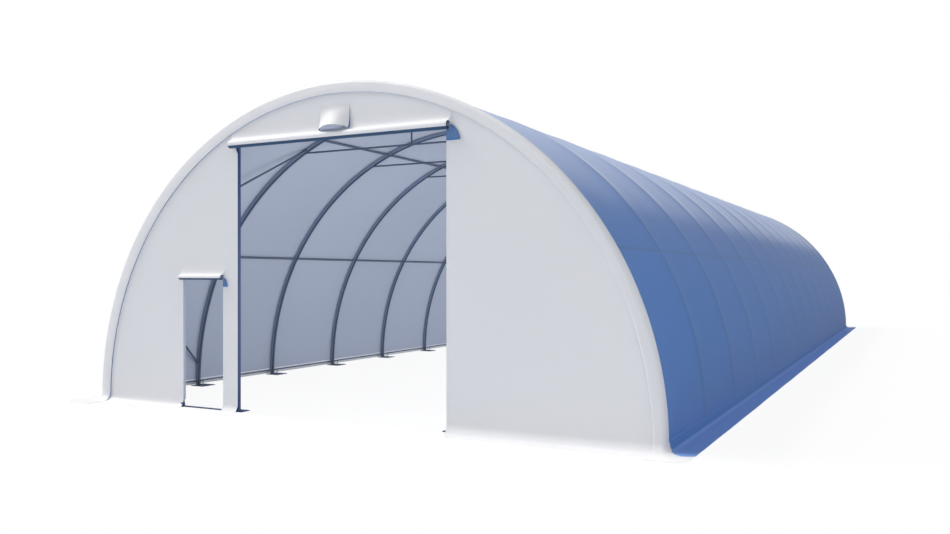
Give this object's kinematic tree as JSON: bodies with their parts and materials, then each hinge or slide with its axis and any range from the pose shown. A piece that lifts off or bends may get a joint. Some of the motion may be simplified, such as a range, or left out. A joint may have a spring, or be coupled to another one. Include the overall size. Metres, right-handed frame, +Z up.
{
  "type": "fabric storage shelter",
  "caption": "Arched fabric storage shelter: steel half-round arches, blue cover, white gables, rolled-up door curtains and a hooded vent.",
  "frame": {"origin": "centre of the footprint, on the ground", "axes": "+Z up, +Y from the front gable with the doorways to the rear gable, +X to the right of someone looking in at the front"},
  "size_m": [9.81, 26.9536, 4.625],
  "materials": {
    "galvanised_frame": "satin grey-blue powder coat over galvanised tube",
    "blue_fabric": "smooth coated fabric, blue outside, pale grey-blue inside",
    "white_fabric": "smooth coated fabric, white outside, blue inside"
  },
  "bodies": {
    "root": {"front_arch": "galvanised_frame", "arch_02": "galvanised_frame", "arch_03": "galvanised_frame", "arch_04": "galvanised_frame", "arch_05": "galvanised_frame", "arch_06": "galvanised_frame", "arch_07": "galvanised_frame", "arch_08": "galvanised_frame", "arch_09": "galvanised_frame", "arch_10": "galvanised_frame", "arch_11": "galvanised_frame", "arch_12": "galvanised_frame", "arch_13": "galvanised_frame", "rear_arch": "galvanised_frame", "base_plates": "galvanised_frame", "collar_ties": "galvanised_frame", "king_posts": "galvanised_frame", "side_purlins": "galvanised_frame", "upper_purlins": "galvanised_frame", "base_rails": "galvanised_frame", "wind_braces": "galvanised_frame", "door_posts": "galvanised_frame", "small_door_frame": "galvanised_frame", "ground_bar": "galvanised_frame", "rear_gable_posts": "galvanised_frame", "left_side_cover": "blue_fabric", "left_roof_cover": "blue_fabric", "right_roof_cover": "blue_fabric", "right_side_cover": "blue_fabric", "left_ground_flap": "blue_fabric", "right_ground_flap": "blue_fabric", "front_end_band": "white_fabric", "rear_end_band": "white_fabric", "front_gable_left": "white_fabric", "front_gable_over_door": "white_fabric", "front_gable_pillar": "white_fabric", "front_gable_top": "white_fabric", "front_gable_right": "white_fabric", "front_ground_flaps": "white_fabric", "rear_gable": "white_fabric", "rear_ground_flap": "white_fabric", "large_curtain": "white_fabric", "small_curtain": "white_fabric", "curtain_tubes": "galvanised_frame", "curtain_corner_flaps": "blue_fabric", "vent_hood": "white_fabric"}
  },
  "joints": []
}
